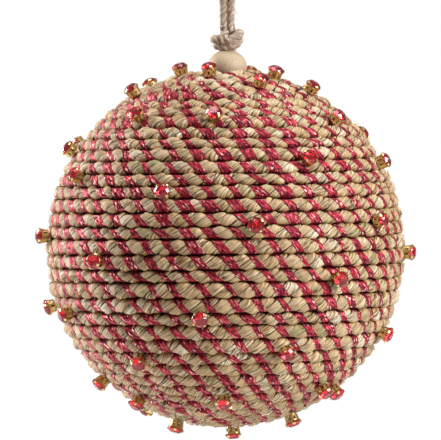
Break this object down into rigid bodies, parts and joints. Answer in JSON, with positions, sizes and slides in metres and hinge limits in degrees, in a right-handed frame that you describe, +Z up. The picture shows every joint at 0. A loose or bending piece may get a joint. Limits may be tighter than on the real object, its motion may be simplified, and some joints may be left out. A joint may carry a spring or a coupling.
{
  "type": "hanging ball ornament",
  "caption": "Christmas ball wound with twisted natural rope and metallic red ribbon, set with claw-set red stones, hung from a knotted jute loop over a wooden bead.",
  "frame": {"origin": "underside of the hanging loop's top bend, where a hook or twig carries the ornament", "axes": "+Z up along the hanger, -Y the front that the picture shows, +X to the right"},
  "size_m": [0.1269, 0.1254, 0.1738],
  "materials": {
    "rush_rope": "dry twisted plant fibre, pale tan with a faint green tint",
    "metallic_ribbon": "woven red metallic thread ribbon, sparkling",
    "red_stone": "foil-backed faceted red glass",
    "gold_setting": "bright pressed gilt metal",
    "bead_wood": "bare turned pale wood",
    "jute_twine": "hairy two-ply jute twine"
  },
  "bodies": {
    "root": {"rope_winding": "rush_rope", "wooden_bead": "bead_wood", "hanger_knot": "jute_twine", "hanger_loop": "jute_twine", "stone_01": "red_stone", "stone_02": "red_stone", "stone_03": "red_stone", "stone_04": "red_stone", "stone_05": "red_stone", "stone_06": "red_stone", "stone_07": "red_stone", "stone_08": "red_stone", "stone_09": "red_stone", "stone_10": "red_stone", "stone_11": "red_stone", "stone_12": "red_stone", "stone_13": "red_stone", "stone_14": "red_stone", "stone_15": "red_stone", "stone_16": "red_stone", "stone_17": "red_stone", "stone_18": "red_stone", "stone_19": "red_stone", "stone_20": "red_stone", "stone_21": "red_stone", "stone_22": "red_stone", "stone_23": "red_stone", "stone_24": "red_stone", "stone_25": "red_stone", "stone_26": "red_stone", "stone_27": "red_stone", "stone_28": "red_stone", "stone_29": "red_stone", "stone_30": "red_stone", "stone_31": "red_stone", "stone_32": "red_stone", "stone_33": "red_stone", "stone_34": "red_stone", "stone_35": "red_stone", "stone_36": "red_stone", "stone_37": "red_stone", "stone_38": "red_stone", "stone_39": "red_stone", "stone_40": "red_stone", "stone_41": "red_stone", "stone_42": "red_stone", "stone_43": "red_stone", "stone_44": "red_stone", "stone_45": "red_stone", "stone_46": "red_stone", "stone_47": "red_stone", "stone_48": "red_stone", "stone_49": "red_stone", "stone_50": "red_stone", "stone_51": "red_stone", "stone_52": "red_stone", "stone_53": "red_stone", "stone_54": "red_stone", "stone_55": "red_stone", "stone_56": "red_stone"}
  },
  "joints": []
}
